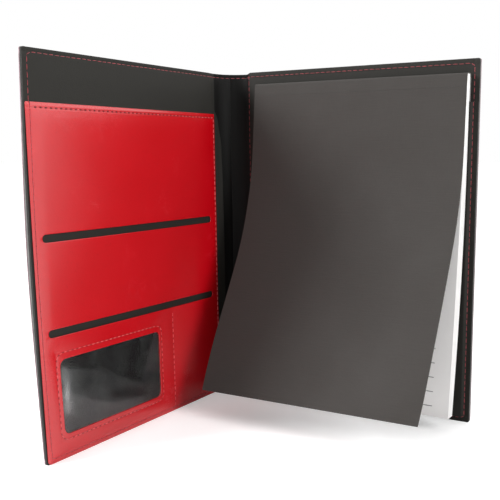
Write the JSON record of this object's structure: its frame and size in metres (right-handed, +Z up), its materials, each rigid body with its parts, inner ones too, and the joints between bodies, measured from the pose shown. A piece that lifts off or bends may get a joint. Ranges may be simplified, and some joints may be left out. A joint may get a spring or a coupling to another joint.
{
  "type": "writing pad folder",
  "caption": "Soft-spined folder that stands half open, with card pockets and a clear window in one cover and a ruled writing pad in the other.",
  "frame": {"origin": "middle of the object's box in plan, on the surface that the half-open folder stands on", "axes": "+Z up along the spine, +X along the back cover away from the spine, -Y along the front cover away from the spine"},
  "size_m": [0.1828, 0.1828, 0.222],
  "materials": {
    "outer_leatherette": "fine grained, satin",
    "inner_leatherette": "fine grained, satin",
    "red_leatherette": "smooth, satin",
    "clear_film": "clear gloss",
    "greyboard": "matt",
    "paper": "matt, ruled",
    "dark_card": "fine linen grain, matt"
  },
  "bodies": {
    "back_cover": {"back_skin": "outer_leatherette", "back_board": "greyboard", "back_lining": "inner_leatherette", "pad_sleeve": "inner_leatherette", "pad_backboard": "greyboard", "page_block": "paper", "pad_binding": "dark_card"},
    "spine": {"spine_skin": "outer_leatherette", "spine_lining": "inner_leatherette"},
    "front_cover": {"front_skin": "outer_leatherette", "front_board": "greyboard", "front_lining": "inner_leatherette", "document_pocket": "inner_leatherette", "organiser_panel": "red_leatherette", "window_film": "clear_film"},
    "pad_cover": {"pad_cover": "dark_card"}
  },
  "joints": [
    {"name": "back_hinge", "type": "hinge", "parent": "back_cover", "child": "spine", "pos_m": [-0.07265, 0.0892, 0.111], "axis": [0, 0, 1], "range_deg": [-45, 45], "deforming": ["pad_cover"]},
    {"name": "front_hinge", "type": "hinge", "parent": "spine", "child": "front_cover", "pos_m": [-0.0892, 0.07265, 0.111], "axis": [0, 0, 1], "range_deg": [-45, 45]},
    {"name": "pad_cover_crease", "type": "hinge", "parent": "back_cover", "child": "pad_cover", "pos_m": [0.01215, 0.08095, 0.2065], "axis": [-1, 0, 0], "range_deg": [0, 170]}
  ],
  "couplings": [
    {"joint": "front_hinge", "follows": "back_hinge", "ratio": 1}
  ]
}
